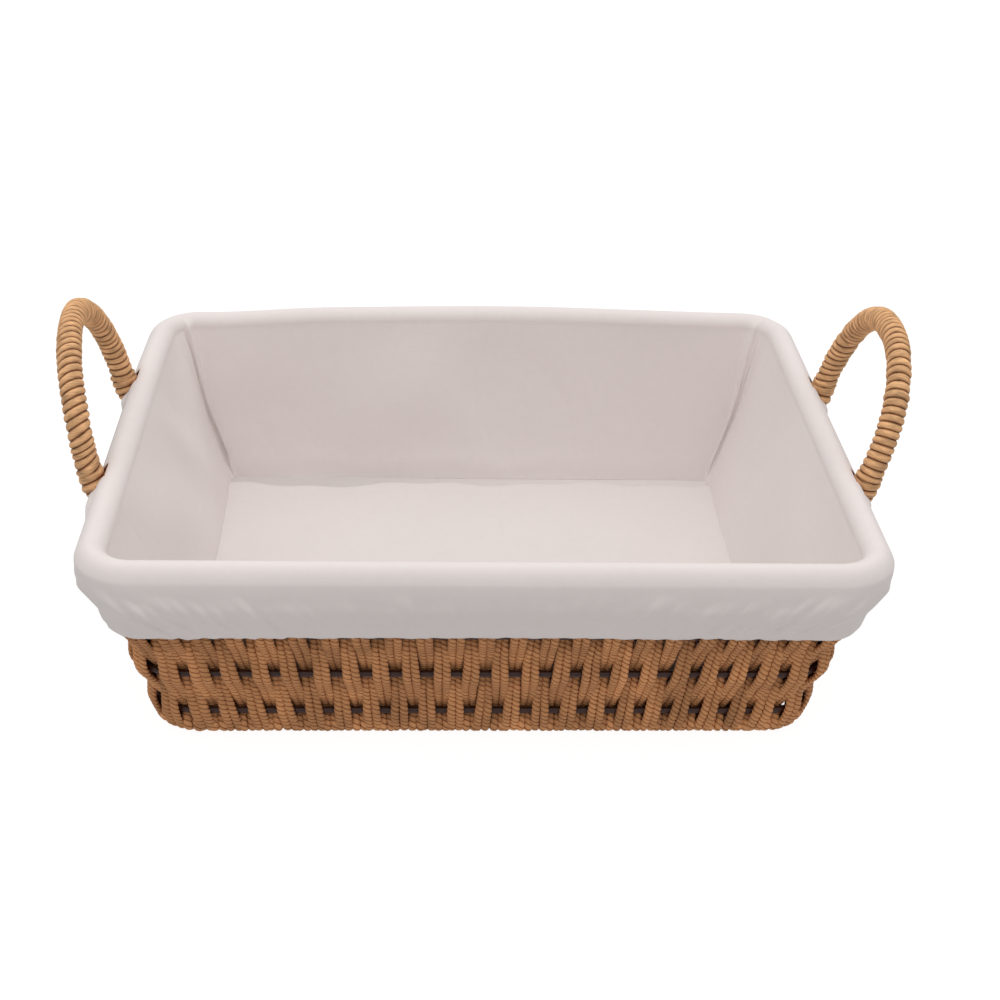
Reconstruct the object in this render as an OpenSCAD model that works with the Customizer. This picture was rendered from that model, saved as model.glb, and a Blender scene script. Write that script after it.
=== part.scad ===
// Lined bread basket: a shallow flared tray of paper cord woven over a welded wire
// frame, with two wrapped loop handles and a loose cloth liner held by an elastic hem.
// X runs through the two handles, Y from front to back, Z up from the table.
// The frame is laid out on the walls' middle surface: a rounded rectangle that grows
// evenly from the base ring to the rim wire. Every layer is an offset from it.

/* [Frame] */
// Width between the rim wire's centre lines, handle side to handle side
rim_w = 345; // [250:1:450]
// Depth between the rim wire's centre lines, front to back
rim_d = 275; // [180:1:350]
// Height of the rim wire above the table
rim_z = 94; // [60:1:150]
// Width between the base ring's centre lines
base_w = 299; // [200:1:400]
// Depth between the base ring's centre lines
base_d = 238; // [140:1:300]
// Corner radius of every ring, on its centre line
corner_r = 20; // [12:1:40]
// Diameter of the rim, ring, rib and base wires
wire_d = 3; // [2:0.5:5]
// Height of the lowest wall ring
first_ring_z = 12.2; // [9:0.1:20]
// Height from one wall ring to the next
ring_step = 23.5; // [15:0.1:30]
// Distance between the wires under the base
cross_wire_step = 38; // [20:1:60]
// Number of wires under the base
cross_wire_count = 5; // [3:1:9]

/* [Weave] */
// Thickness of one twisted paper cord
cord_d = 2.95; // [2:0.05:5]
// Outer diameter of the cord wrapped round the rim wire
rim_wrap_d = 10.6; // [8:0.1:16]

/* [Handles] */
// Width of a handle between its legs' centre lines
handle_w = 104; // [90:1:150]
// Height of a handle's centre line above the rim, along the leaning wall
handle_rise = 61.5; // [50:0.5:100]
// Bend radius at a handle's two top corners
handle_bend_r = 49; // [20:1:52]
// Diameter of the handle wire
handle_wire_d = 4; // [3:0.5:8]
// Outer diameter of a wrapped handle
handle_wrap_d = 12; // [8:0.5:20]
// Distance from the rim wire to a leg, centre line to centre line, across the wall
leg_offset = 9.5; // [8:0.1:14]
// Outer diameter of the cord binding that ties a leg to the rim
binding_d = 13.6; // [12:0.1:20]
// How far a binding reaches above the rim, along the leg
binding_up = 8; // [5:1:30]
// How far a binding reaches below the rim, along the leg
binding_down = 12; // [5:1:20]
// How far a handle leg runs down inside its binding
leg_down = 10; // [5:1:20]

/* [Liner] */
// Thickness of the cloth
cloth_t = 1.2; // [0.6:0.1:2.5]
// Height of the hem's lower edge
hem_z = 62.8; // [30:0.1:80]
// Height of the hem casing
casing_h = 8; // [5:0.5:15]
// Thickness of the hem casing
casing_t = 2.2; // [1.8:0.1:5]
// How far the floor panel's edge stays inside the wall panels' upright line
floor_inset = 8; // [0:0.5:15]
// Width of the slit that lets a handle through each short side
slit_h = 5; // [3:0.5:10]

/* [Quality] */
// Facets of a full circle
$fn = 48; // [24:8:96]

/* [Hidden] */
wire_r = wire_d / 2;
weave_t = wire_d + 2 * cord_d;
half_t = weave_t / 2;
base_z = half_t;
slope_x = (rim_w - base_w) / 2 / (rim_z - base_z);
slope_y = (rim_d - base_d) / 2 / (rim_z - base_z);
lean = atan(slope_x);
ring_zs = [for (i = [0:3]) first_ring_z + i * ring_step];
wall_top_z = rim_z - rim_wrap_d / 2 - 0.2;
corner_facets = 3;
corner_cut = 32.7;
far = 400;
weld = 0.1;
rib_sink = 0.6;
rib_tilt = atan(norm([slope_x, slope_y]));
rim_wrap_r = rim_wrap_d / 2;
fold_gap = 0.5;
liner_in = rim_wrap_r + fold_gap;
liner_out = liner_in + cloth_t;
floor_gap = 0.5;
floor_z = weave_t + floor_gap;
casing_in = half_t + fold_gap;
casing_out = casing_in + casing_t;
casing_lip = 1.5;
casing_skin = 0.8;
elastic_gap = 0.2;
notch_gap = 0.5;
slit_z = 1;

cord_colour = [0.66, 0.48, 0.32];
wrap_colour = [0.75, 0.55, 0.36];
wire_colour = [0.18, 0.11, 0.08];
cloth_colour = [0.86, 0.83, 0.81];
elastic_colour = [0.92, 0.91, 0.89];

// Half width and half depth of the walls' middle surface at height z.
function half_w(z) = base_w / 2 + slope_x * (z - base_z);
function half_d(z) = base_d / 2 + slope_y * (z - base_z);

// Slope of the wall that faces the plan direction t, and how far that wall stands from
// the middle of the basket at height z when it is offset outwards by off.
function slope_at(t) = slope_x * abs(cos(t)) + slope_y * abs(sin(t));
function reach(t, z, off) =
    (half_w(z) - corner_r) * abs(cos(t)) + (half_d(z) - corner_r) * abs(sin(t))
    + corner_r + off * sqrt(1 + pow(slope_at(t), 2));

// Plan directions of the flat faces that make one side and its rounded corners.
facet_step = 90 / (corner_facets + 1);
facet_angles = [0:facet_step:180 - facet_step];

// Solid inside the flared wall surface offset by off, from height z0 to z1. It is drawn
// in by a further amount, inset, at its lower end.
module flared_block(off, z0, z1, inset = 0) {
    intersection_for (t = facet_angles) {
        rotate([90, 0, t])
            linear_extrude(height = 2 * far, center = true)
                polygon([
                    [-reach(t, z0, off - inset), z0],
                    [reach(t, z0, off - inset), z0],
                    [reach(t, z1, off), z1],
                    [-reach(t, z1, off), z1]
                ]);
    }
}

// Layer between two offsets of the wall surface.
module flared_shell(off_in, off_out, z0, z1) {
    difference() {
        flared_block(off_out, z0, z1);
        flared_block(off_in, z0 - 1, z1 + 1);
    }
}

// Keeps the part of its children on one side of the basket, cut at the corners.
// side: 0 right, 90 back, 180 left, 270 front.
module on_side(side) {
    long_side = side == 90 || side == 270;
    y0 = long_side ? corner_cut : 0;
    x0 = long_side ? 0 : corner_cut;
    intersection() {
        children();
        rotate([0, 0, side])
            translate([x0, 0, -far / 2])
                linear_extrude(height = far)
                    polygon([[0, -y0], [far, -y0 - far], [far, y0 + far], [0, y0]]);
    }
}

// Puts its children, a profile drawn about the ring's centre line with X outwards,
// round a rounded rectangle at height z.
module round_ring(z) {
    hw = half_w(z) - corner_r;
    hd = half_d(z) - corner_r;
    for (s = [0, 1]) {
        rotate([0, 0, 180 * s]) {
            translate([hw + corner_r, 0, z])
                rotate([90, 0, 0])
                    linear_extrude(height = 2 * hd, center = true)
                        children();
            translate([0, hd + corner_r, z])
                rotate([90, 0, 90])
                    linear_extrude(height = 2 * hw, center = true)
                        children();
            translate([hw, hd, z])
                rotate_extrude(angle = 90)
                    translate([corner_r, 0])
                        children();
            translate([-hw, hd, z])
                rotate([0, 0, 90])
                    rotate_extrude(angle = 90)
                        translate([corner_r, 0])
                            children();
        }
    }
}

// Round bar bent to a rounded rectangle at height z.
module round_bar(z, r) {
    hw = half_w(z) - corner_r;
    hd = half_d(z) - corner_r;
    for (s = [0, 1]) {
        rotate([0, 0, 180 * s]) {
            translate([hw + corner_r, 0, z])
                rotate([90, 0, 0])
                    cylinder(h = 2 * hd, r = r, center = true);
            translate([0, hd + corner_r, z])
                rotate([0, 90, 0])
                    cylinder(h = 2 * hw, r = r, center = true);
            for (m = [0, 1])
                mirror([m, 0, 0])
                    translate([hw, hd, z])
                        rotate_extrude(angle = 90)
                            translate([corner_r, 0])
                                circle(r = r);
        }
    }
}

// Frame wires

module ring_wire(i) {
    color(wire_colour)
        round_bar(ring_zs[i], wire_r);
}

module rim_wire() {
    color(wire_colour)
        round_bar(rim_z, wire_r);
}

module base_ring_wire() {
    color(wire_colour)
        round_bar(base_z, wire_r);
}

module base_cross_wires() {
    reach_x = base_w / 2 - wire_r + weld;
    color(wire_colour)
        for (i = [0:cross_wire_count - 1])
            translate([0, (i - (cross_wire_count - 1) / 2) * cross_wire_step, base_z])
                rotate([0, 90, 0])
                    cylinder(h = 2 * reach_x, r = wire_r, center = true);
}

// One straight rib up each corner, just inside the rings.
module corner_rib() {
    bend = corner_r * (1 - cos(45));
    inset = (2 * wire_r - rib_sink) / cos(rib_tilt) * cos(45);
    top = [half_w(rim_z) - bend - inset, half_d(rim_z) - bend - inset, rim_z];
    foot = [half_w(base_z) - bend - inset, half_d(base_z) - bend - inset, base_z];
    run = top - foot;
    translate(foot)
        rotate([0, rib_tilt, atan2(run[1], run[0])])
            cylinder(h = norm(run), r = wire_r);
}

// Each rib is notched where a ring is welded to it.
module corner_ribs() {
    color(wire_colour)
        difference() {
            for (sx = [0, 1], sy = [0, 1])
                mirror([sx, 0, 0])
                    mirror([0, sy, 0])
                        corner_rib();
            rim_wire();
            wall_rings();
        }
}

module wall_rings() {
    for (i = [0:3])
        ring_wire(i);
    base_ring_wire();
}

module frame_wires() {
    wall_rings();
    base_cross_wires();
    corner_ribs();
}

// Handles

// Puts its children, drawn in the plane of a handle with Y up the wall, on the right
// side. The origin is the leg's centre line level with the rim wire.
module on_handle_plane() {
    translate([half_w(rim_z), 0, rim_z])
        rotate([0, lean, 0])
            translate([leg_offset, 0, 0])
                rotate([90, 0, 90])
                    children();
}

// The left side is the right side turned half round, so front and back change places.
module on_left() {
    rotate([0, 0, 180])
        children();
}

// Bar bent to a handle's arch, with its legs starting at y0.
module arch_bar(r, y0) {
    leg = handle_rise - handle_bend_r;
    top = handle_w / 2 - handle_bend_r;
    for (m = [0, 1])
        mirror([m, 0, 0]) {
            translate([handle_w / 2, y0, 0])
                rotate([-90, 0, 0])
                    cylinder(h = leg - y0, r = r);
            translate([top, leg, 0])
                rotate_extrude(angle = 90)
                    translate([handle_bend_r, 0])
                        circle(r = r);
        }
    translate([0, handle_rise, 0])
        rotate([0, 90, 0])
            cylinder(h = 2 * top, r = r, center = true);
}

module handle_wire_shape() {
    on_handle_plane()
        arch_bar(handle_wire_d / 2, -leg_down);
}

module handle_wrap_shape() {
    on_handle_plane()
        difference() {
            arch_bar(handle_wrap_d / 2, binding_up);
            arch_bar(handle_wire_d / 2, binding_up - 1);
        }
}

// side: -1 front leg, 1 back leg.
module leg_cylinder(side, r, down, up) {
    on_handle_plane()
        translate([side * handle_w / 2, -down, 0])
            rotate([-90, 0, 0])
                cylinder(h = down + up, r = r);
}

// Cord lashed round a leg where it passes the rim. It follows the rim's cord and the
// wall behind it.
module binding_shape(side) {
    difference() {
        leg_cylinder(side, binding_d / 2, binding_down, binding_up);
        leg_cylinder(side, handle_wire_d / 2, leg_down, binding_up + 1);
        round_bar(rim_z, rim_wrap_r);
        flared_block(half_t, 0, rim_z);
    }
}

module left_handle_wire() {
    color(wire_colour)
        on_left()
            handle_wire_shape();
}

module right_handle_wire() {
    color(wire_colour)
        handle_wire_shape();
}

module left_handle_wrap() {
    color(wrap_colour)
        on_left()
            handle_wrap_shape();
}

module right_handle_wrap() {
    color(wrap_colour)
        handle_wrap_shape();
}

module left_front_binding() {
    color(wrap_colour)
        on_left()
            binding_shape(1);
}

module left_back_binding() {
    color(wrap_colour)
        on_left()
            binding_shape(-1);
}

module right_front_binding() {
    color(wrap_colour)
        binding_shape(-1);
}

module right_back_binding() {
    color(wrap_colour)
        binding_shape(1);
}

// Woven cord

module rim_wrap() {
    color(wrap_colour)
        difference() {
            round_bar(rim_z, rim_wrap_r);
            rim_wire();
            corner_ribs();
        }
}

// side: 0 right, 90 back.
module wall_weave(side) {
    difference() {
        on_side(side)
            flared_shell(-half_t, half_t, 0, wall_top_z);
        frame_wires();
    }
}

module right_wall_weave() {
    color(cord_colour)
        wall_weave(0);
}

module left_wall_weave() {
    color(cord_colour)
        on_left()
            wall_weave(0);
}

module back_wall_weave() {
    color(cord_colour)
        wall_weave(90);
}

module front_wall_weave() {
    color(cord_colour)
        rotate([0, 0, 180])
            wall_weave(90);
}

module base_weave() {
    color(cord_colour)
        difference() {
            flared_block(-half_t, 0, weave_t);
            base_ring_wire();
            base_cross_wires();
            corner_ribs();
        }
}

// Liner

// Solid inside one face of the liner's wall panels.
module liner_block(off) {
    flared_block(off, floor_z, rim_z, floor_inset);
}

module liner_floor() {
    color(cloth_colour)
        intersection() {
            liner_block(-liner_out);
            translate([-far / 2, -far / 2, floor_z])
                cube([far, far, cloth_t]);
        }
}

module liner_panel(side) {
    color(cloth_colour)
        on_side(side)
            difference() {
                liner_block(-liner_in);
                liner_block(-liner_out);
            }
}

module liner_right_panel() {
    liner_panel(0);
}

module liner_back_panel() {
    liner_panel(90);
}

module liner_left_panel() {
    liner_panel(180);
}

module liner_front_panel() {
    liner_panel(270);
}

// Upper half of the cloth's turn over the rim.
module fold_profile() {
    intersection() {
        difference() {
            circle(r = liner_out);
            circle(r = liner_in);
        }
        translate([-liner_out, 0])
            square([2 * liner_out, liner_out]);
    }
}

// Cloth from the top of the rim down the outside to the hem casing.
module skirt_shape(side) {
    on_side(side)
        union() {
            round_ring(rim_z)
                fold_profile();
            flared_shell(liner_in, liner_out, hem_z + casing_h, rim_z);
        }
}

// The short sides open round the bindings and along a slit between them.
module slit_skirt_shape() {
    difference() {
        skirt_shape(0);
        for (leg = [-1, 1])
            leg_cylinder(leg, binding_d / 2 + notch_gap, binding_down + notch_gap, 2 * binding_up);
        translate([half_w(rim_z), -handle_w / 2, rim_z + slit_z])
            cube([2 * liner_out, handle_w, slit_h]);
    }
}

module liner_right_skirt() {
    color(cloth_colour)
        slit_skirt_shape();
}

module liner_back_skirt() {
    color(cloth_colour)
        skirt_shape(90);
}

module liner_left_skirt() {
    color(cloth_colour)
        on_left()
            slit_skirt_shape();
}

module liner_front_skirt() {
    color(cloth_colour)
        skirt_shape(270);
}

// Turned-up hem round the elastic, open towards the wall.
module hem_casing() {
    color(cloth_colour)
        difference() {
            flared_block(casing_out, hem_z, hem_z + casing_h);
            flared_block(casing_in, hem_z - 1, hem_z + casing_h + 1);
            flared_block(
                casing_out - casing_skin,
                hem_z + casing_lip,
                hem_z + casing_h - casing_lip
            );
        }
}

module hem_elastic() {
    color(elastic_colour)
        flared_shell(
            casing_in + elastic_gap,
            casing_out - casing_skin - elastic_gap,
            hem_z + casing_lip + elastic_gap,
            hem_z + casing_h - casing_lip - elastic_gap
        );
}

rim_wire();
ring_wire(3);  // top_ring_wire
ring_wire(2);  // upper_ring_wire
ring_wire(1);  // lower_ring_wire
ring_wire(0);  // bottom_ring_wire
base_ring_wire();
base_cross_wires();
corner_ribs();
left_handle_wire();
right_handle_wire();
left_handle_wrap();
right_handle_wrap();
left_front_binding();
left_back_binding();
right_front_binding();
right_back_binding();
rim_wrap();
front_wall_weave();
back_wall_weave();
left_wall_weave();
right_wall_weave();
base_weave();
liner_floor();
liner_front_panel();
liner_back_panel();
liner_left_panel();
liner_right_panel();
liner_front_skirt();
liner_back_skirt();
liner_left_skirt();
liner_right_skirt();
hem_casing();
hem_elastic();
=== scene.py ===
"""Lined bread basket: woven paper cord, wrapped handles and a gathered cloth liner.

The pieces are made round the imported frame, whose boxes give the rings' sizes. Lengths in
this file are millimetres until a mesh is made.
"""

import math

import bpy
import numpy as np
from mathutils import Matrix, Vector


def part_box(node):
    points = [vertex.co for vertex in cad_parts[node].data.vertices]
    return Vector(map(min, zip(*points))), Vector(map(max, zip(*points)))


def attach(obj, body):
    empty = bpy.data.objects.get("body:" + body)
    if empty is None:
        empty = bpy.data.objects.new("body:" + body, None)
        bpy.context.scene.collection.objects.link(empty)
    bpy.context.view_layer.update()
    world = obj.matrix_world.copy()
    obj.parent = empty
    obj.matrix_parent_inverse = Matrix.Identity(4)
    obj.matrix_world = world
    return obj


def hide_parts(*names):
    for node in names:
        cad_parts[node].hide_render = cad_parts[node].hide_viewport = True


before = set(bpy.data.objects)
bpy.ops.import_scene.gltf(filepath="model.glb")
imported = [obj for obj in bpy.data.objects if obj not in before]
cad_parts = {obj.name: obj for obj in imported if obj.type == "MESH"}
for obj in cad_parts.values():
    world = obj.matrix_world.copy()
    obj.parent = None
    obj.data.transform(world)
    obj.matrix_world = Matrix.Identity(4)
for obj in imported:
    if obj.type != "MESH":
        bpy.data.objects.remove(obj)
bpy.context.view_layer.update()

bl_info = {
    "name": "Lined Bread Basket",
    "version": (1, 0, 0),
    "blender": (4, 5, 0),
    "location": "3D View > Sidebar > Basket",
    "description": "Weaves, wraps and lines a wire basket frame",
    "category": "Object",
}

MM = 0.001
TURN = 2 * math.pi
WIRE_R = 1.5

RING_NODES = ("bottom_ring_wire", "lower_ring_wire", "upper_ring_wire", "top_ring_wire")
WIRE_NODES = RING_NODES + (
    "rim_wire",
    "base_ring_wire",
    "base_cross_wires",
    "corner_ribs",
    "left_handle_wire",
    "right_handle_wire",
)


def ring_size(node):
    """Half width, half depth and height of a ring wire's centre line."""
    low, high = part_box(node)
    return high.x / MM - WIRE_R, high.y / MM - WIRE_R, (low.z + high.z) / 2 / MM


RIM_HALF_W, RIM_HALF_D, RIM_Z = ring_size("rim_wire")
BASE_HALF_W, BASE_HALF_D, BASE_Z = ring_size("base_ring_wire")
RING_Z = [ring_size(node)[2] for node in RING_NODES]
RING_STEP = RING_Z[1] - RING_Z[0]
SLOPE_X = (RIM_HALF_W - BASE_HALF_W) / (RIM_Z - BASE_Z)
SLOPE_Y = (RIM_HALF_D - BASE_HALF_D) / (RIM_Z - BASE_Z)
LEAN = math.atan(SLOPE_X)
CORNER_R = 20.0
CROSS_WIRE_Y = [(i - 2) * 38.0 for i in range(5)]

SIDES = ("front", "right", "back", "left")
SIDE_ANGLE = {"front": -90.0, "right": 0.0, "back": 90.0, "left": 180.0}


# Sizes and colours that a user would change


def hex_colour(code):
    """An sRGB hex colour as linear RGBA."""
    parts = [int(code[i : i + 2], 16) / 255 for i in (1, 3, 5)]
    linear = [
        c / 12.92 if c <= 0.04045 else ((c + 0.055) / 1.055) ** 2.4 for c in parts
    ]
    return (*linear, 1.0)


def length_property(name, text, default, low, high):
    return bpy.props.FloatProperty(
        name=name,
        description=text,
        default=default * MM,
        min=low * MM,
        max=high * MM,
        subtype="DISTANCE",
        unit="LENGTH",
        precision=4,
    )


def colour_property(name, text, code):
    return bpy.props.FloatVectorProperty(
        name=name,
        description=text,
        default=hex_colour(code),
        size=4,
        min=0.0,
        max=1.0,
        subtype="COLOR",
    )


class BASKET_PG_sizes(bpy.types.PropertyGroup):
    """Sizes of the cords and the cloth"""

    cord: length_property(
        "Cord", "Thickness of one twisted paper cord", 2.95, 2.0, 4.0
    )
    strands_round: bpy.props.IntProperty(
        name="Strand Pairs",
        description="Pairs of woven strands round the walls",
        default=82,
        min=40,
        max=120,
    )
    ply_pitch: length_property(
        "Ply Pitch", "Length of one full turn of a cord's two plies", 4.6, 3.0, 15.0
    )
    handle_wrap: length_property(
        "Handle Wrap", "Outer diameter of a wrapped handle", 12.0, 9.0, 16.0
    )
    handle_turn: length_property(
        "Handle Turn", "Distance from one turn of the handle's cord to the next", 3.7, 2.5, 6.0
    )
    rim_wrap: length_property(
        "Rim Wrap", "Outer diameter of the cord wrapped round the rim", 10.6, 8.0, 14.0
    )
    cloth: length_property("Cloth", "Thickness of the liner's cloth", 0.8, 0.4, 1.5)
    hem_height: length_property(
        "Hem Height", "Height of the hem's lower edge", 62.8, 40.0, 80.0
    )


class BASKET_PG_colours(bpy.types.PropertyGroup):
    """Colours of the cords, the wire and the cloth"""

    woven: colour_property("Woven Cord", "Paper cord of the walls", "#D49665")
    # The grooves' colour is painted shade: the cord darkened between its plies.
    woven_groove_shade: colour_property(
        "Woven Cord Grooves", "Paper cord between its plies", "#8E5732"
    )
    handle: colour_property("Handle Cord", "Paper cord of the handles", "#DEAC7C")
    # The grooves' colour is painted shade: the cord darkened where two turns meet.
    handle_groove_shade: colour_property(
        "Handle Cord Grooves", "Paper cord between two turns", "#6B3B1B"
    )
    wire: colour_property("Wire", "Coated wire of the frame", "#3A1B12")
    cloth: colour_property("Liner", "Cotton of the liner", "#E7DEDB")
    elastic: colour_property("Elastic", "Braided elastic in the hem", "#E4E0DA")


# Meshes


def make_piece(name, points, faces, uv=None, values=None, normals=None):
    """A smooth mesh object from points in millimetres and an array of quads."""
    mesh = bpy.data.meshes.new(name)
    count = len(faces)
    mesh.vertices.add(len(points))
    mesh.vertices.foreach_set("co", (np.asarray(points) * MM).astype(np.float32).ravel())
    mesh.loops.add(count * 4)
    mesh.loops.foreach_set("vertex_index", np.asarray(faces, np.int32).ravel())
    mesh.polygons.add(count)
    mesh.polygons.foreach_set("loop_start", np.arange(0, count * 4, 4, dtype=np.int32))
    mesh.polygons.foreach_set("use_smooth", np.ones(count, bool))
    if uv is not None:
        layer = mesh.uv_layers.new(name="along")
        layer.data.foreach_set("uv", np.asarray(uv, np.float32).ravel())
    for label, numbers in (values or {}).items():
        attribute = mesh.attributes.new(label, "FLOAT", "POINT")
        attribute.data.foreach_set("value", np.asarray(numbers, np.float32))
    mesh.update(calc_edges=True)
    mesh.validate(verbose=False)
    if normals is not None:
        mesh.normals_split_custom_set_from_vertices(normals)
    piece = bpy.data.objects.new(name, mesh)
    bpy.context.scene.collection.objects.link(piece)
    return piece


def unit(v):
    return v / np.maximum(np.linalg.norm(v, axis=-1, keepdims=True), 1e-9)


def smooth_step(x):
    x = np.clip(x, 0.0, 1.0)
    return x * x * (3 - 2 * x)


def bell(x):
    return np.exp(-0.5 * x * x)


class Tubes:
    """Collects swept tubes into one mesh."""

    def __init__(self):
        self.points, self.faces, self.uv, self.start = [], [], [], 0
        self.tint, self.crown = [], []

    def add(self, path, across, out, wide, high, turns, tint, crown, closed=False):
        """Sweeps a section along path. across and out are the section's two directions,
        wide and high its half sizes at every point round it, turns the v of its UVs.
        crown is 1 on top of a ply or turn and 0 in the groove beside it."""
        rings, sides = wide.shape
        phi = np.arange(sides) / sides * TURN
        points = (
            path[:, None, :]
            + across[:, None, :] * (wide * np.cos(phi))[:, :, None]
            + out[:, None, :] * (high * np.sin(phi))[:, :, None]
        )
        spans = rings if closed else rings - 1
        i, j = np.meshgrid(np.arange(spans), np.arange(sides), indexing="ij")
        i2, j2 = (i + 1) % rings, (j + 1) % sides
        faces = np.stack(
            [i * sides + j, i * sides + j2, i2 * sides + j2, i2 * sides + j], -1
        ).reshape(-1, 4)
        v1, v2 = turns[i], turns[i2]
        if closed:
            v2 = np.where(i2 == 0, 2 * turns[-1] - turns[-2], v2)
        u1, u2 = j / sides, (j + 1) / sides
        uv = np.stack([u1, v1, u2, v1, u2, v2, u1, v2], -1).reshape(-1, 2)
        self.faces.append(faces + self.start)
        self.uv.append(uv)
        if not closed:
            k = np.arange(sides // 2 - 1)
            cap = np.stack([k, k + 1, sides - 2 - k, sides - 1 - k], -1)
            last = (rings - 1) * sides
            self.faces += [cap[:, ::-1] + self.start, cap + self.start + last]
            self.uv += [
                np.tile([0.25, turns[0]], (len(cap) * 4, 1)),
                np.tile([0.25, turns[-1]], (len(cap) * 4, 1)),
            ]
        self.points.append(points.reshape(-1, 3))
        self.tint.append(np.full(rings * sides, tint))
        self.crown.append(crown.ravel())
        self.start += rings * sides

    def piece(self, name):
        return make_piece(
            name,
            np.concatenate(self.points),
            np.concatenate(self.faces),
            np.concatenate(self.uv),
            {"tint": np.concatenate(self.tint), "crown": np.concatenate(self.crown)},
        )


def even_path(points, step, *extra, closed=False):
    """Points at even steps along a path, with any extra arrays taken along."""
    if closed:
        points = np.vstack([points, points[:1]])
        extra = [np.vstack([e, e[:1]]) for e in extra]
    gaps = np.linalg.norm(np.diff(points, axis=0), axis=1)
    run = np.concatenate([[0], np.cumsum(gaps)])
    count = max(int(round(run[-1] / step)), 4)
    at = np.linspace(0, run[-1], count + 1)
    if closed:
        at = at[:-1]
    arrays = [
        np.stack([np.interp(at, run, a[:, k]) for k in range(3)], -1)
        for a in (points, *extra)
    ]
    return at, run[-1], arrays


# The walls' middle surface


def half_width(z):
    return BASE_HALF_W + SLOPE_X * (z - BASE_Z)


def half_depth(z):
    return BASE_HALF_D + SLOPE_Y * (z - BASE_Z)


def wall_frame(u, z):
    """Point, outward normal and sideways direction on the walls' middle surface. u runs
    once round from the middle of the front towards the right; z is the height."""
    z = np.asarray(z, float)
    u = np.broadcast_to(np.asarray(u, float) % 1.0, z.shape)
    hx, hy = half_width(z) - CORNER_R, half_depth(z) - CORNER_R
    arc = np.full_like(z, CORNER_R * math.pi / 2)
    run = u * 4 * (hx + hy + arc)
    x, y, angle = np.zeros_like(z), np.zeros_like(z), np.zeros_like(z)
    start = np.zeros_like(z)
    r = CORNER_R
    flat = {
        0: lambda t: (t, -hy - r),
        2: lambda t: (hx + r, t - hy),
        4: lambda t: (hx - t, hy + r),
        6: lambda t: (-hx - r, hy - t),
        8: lambda t: (t - hx, -hy - r),
    }
    centre = {1: (hx, -hy), 3: (hx, hy), 5: (-hx, hy), 7: (-hx, -hy)}
    for k, length in enumerate([hx, arc, 2 * hy, arc, 2 * hx, arc, 2 * hy, arc, hx]):
        here = (run >= start) & ((run < start + length) | (k == 8))
        t = run - start
        side_angle = -math.pi / 2 + (k // 2) * math.pi / 2
        if k % 2:
            a = side_angle + t / r
            px, py = centre[k][0] + r * np.cos(a), centre[k][1] + r * np.sin(a)
        else:
            a = np.full_like(z, side_angle)
            px, py = flat[k](t)
        x, y, angle = (np.where(here, n, o) for n, o in ((px, x), (py, y), (a, angle)))
        start = start + length
    slope = SLOPE_X * abs(np.cos(angle)) + SLOPE_Y * abs(np.sin(angle))
    point = np.stack([x, y, z], -1)
    normal = unit(np.stack([np.cos(angle), np.sin(angle), -slope], -1))
    sideways = np.stack([-np.sin(angle), np.cos(angle), np.zeros_like(z)], -1)
    return point, normal, sideways


def wander(rng, x, step, size):
    """Slow random drift along x."""
    knots = np.arange(x.min() - step, x.max() + 2 * step, step)
    values = rng.normal(0, size, len(knots))
    at = (x - knots[0]) / step
    i = np.clip(at.astype(int), 0, len(knots) - 2)
    return values[i] + (values[i + 1] - values[i]) * smooth_step(at - i)


# Woven cord

CORD_SIDES = 12
CORD_STEP = 0.8
# A strand's two cords stand this far to each side of its middle, each this wide from its
# own middle, and swell by this share where a ply passes.
STRAND_SHIFT = 1.76
STRAND_HALF_WIDTH = 1.86
PLY_SWELL = 0.09
CORNER_FAT = 1.2
# Where a strand starts under the rim's wire, and how far round the base ring it tucks.
STRAND_TOP = 4.5
TUCK_ANGLE = 215


def add_strand(tubes, path, sideways, front, rng, sizes, tint, fat=1.0):
    """Two cords side by side along a path. front is how far each point stands in front
    of the weave, from -1 to 1: there the strand spreads. fat widens a looser strand."""
    at, _, (path, sideways, front) = even_path(
        path, CORD_STEP, sideways, np.repeat(front[:, None], 3, 1)
    )
    front = front[:, 0]
    along = unit(np.gradient(path, axis=0))
    sideways = unit(sideways - along * (sideways * along).sum(-1, keepdims=True))
    out = np.cross(sideways, along)
    spread = np.clip(front, 0, 1) ** 2
    cord_r = sizes.cord / MM / 2
    phi = np.arange(CORD_SIDES) / CORD_SIDES * TURN
    pitch = sizes.ply_pitch / MM
    for hand in (-1, 1):
        shift = STRAND_SHIFT + 0.15 * spread + wander(rng, at, 14, 0.10)
        centre = path + sideways * (hand * fat * shift)[:, None]
        centre = centre + out * wander(rng, at, 11, 0.10)[:, None]
        turns = at / pitch + rng.uniform()
        twist = np.cos(2 * (phi[None, :] - TURN * turns[:, None]))
        lobe = 1 + PLY_SWELL * twist
        wide = fat * (STRAND_HALF_WIDTH + 0.10 * spread)[:, None] * lobe
        high = (cord_r - 0.12) * lobe
        shade = tint + rng.normal(0, 0.07)
        tubes.add(centre, sideways, out, wide, high, turns, shade, (1 + twist) / 2)


def weave_height(z, hand):
    """How far a strand stands in front of the middle surface, from -1 to 1."""
    wave = -hand * np.cos(math.pi * (z - RING_Z[0]) / RING_STEP)
    wave = np.sign(wave) * wave**2
    low = smooth_step((RING_Z[0] - z) / (RING_Z[0] - BASE_Z))
    wave = np.where(z < RING_Z[0], -hand + (1 + hand) * low, wave)
    return wave * (1 - smooth_step((z - RING_Z[3] - 1.0) / 4.0))


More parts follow.
